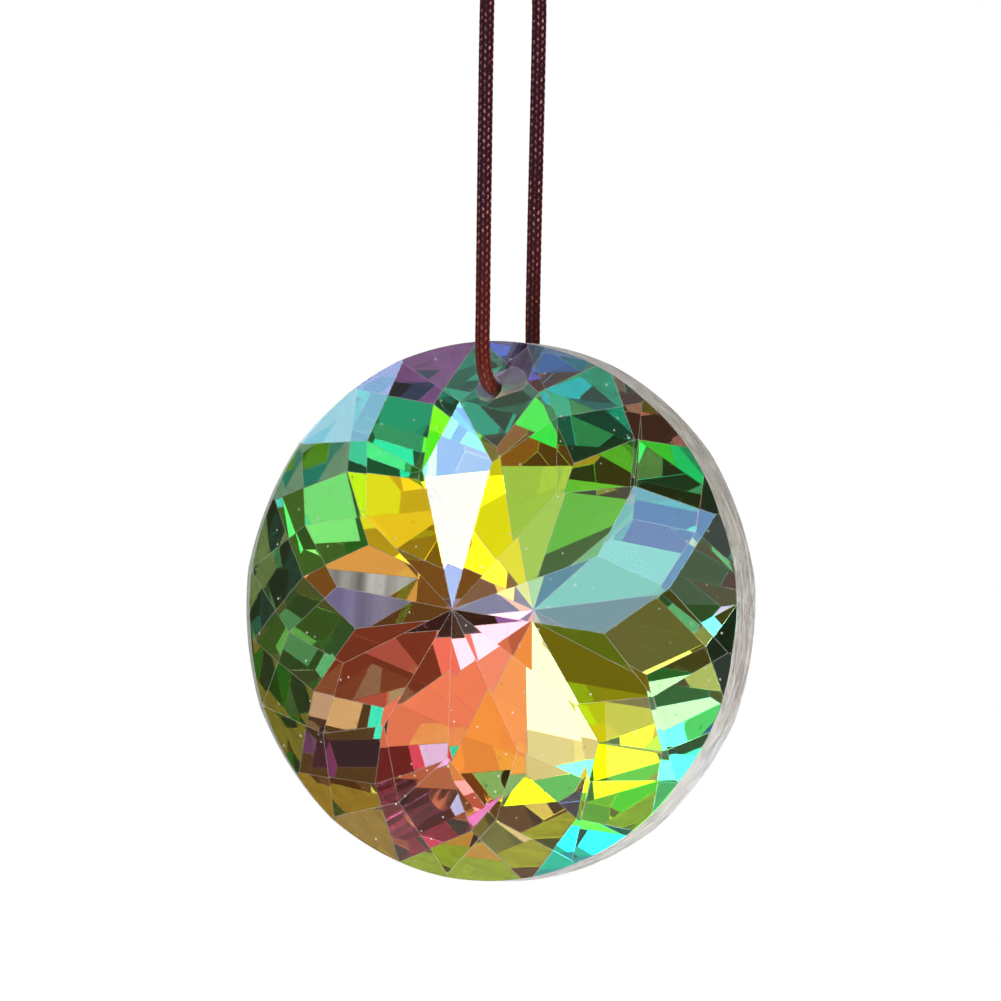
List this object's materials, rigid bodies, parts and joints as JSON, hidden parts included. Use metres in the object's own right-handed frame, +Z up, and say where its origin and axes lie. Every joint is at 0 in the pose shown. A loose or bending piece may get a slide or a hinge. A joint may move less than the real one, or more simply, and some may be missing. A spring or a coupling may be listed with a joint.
{
  "type": "crystal suncatcher",
  "caption": "Round faceted crystal disc with a sunflower cut on both faces, a rainbow coating and a ground rim, hanging on a loop of thin satin cord.",
  "frame": {"origin": "the hang point: the underside of the cord loop just below its knot, where a hook bears", "axes": "+Z up along the hanging cord, +Y along the disc's axis from its front face to its back face, +X to the right as seen from the front"},
  "size_m": [0.045, 0.0184, 0.0904],
  "materials": {
    "coated_crystal": "polished clear crystal with a thin rainbow coating on its facets and a finely ground rim",
    "satin_cord": "dark maroon satin cord with a soft sheen and fine lengthwise threads"
  },
  "bodies": {
    "root": {"crystal_disc": "coated_crystal", "hanging_cord": "satin_cord", "cord_knot": "satin_cord"}
  },
  "joints": []
}
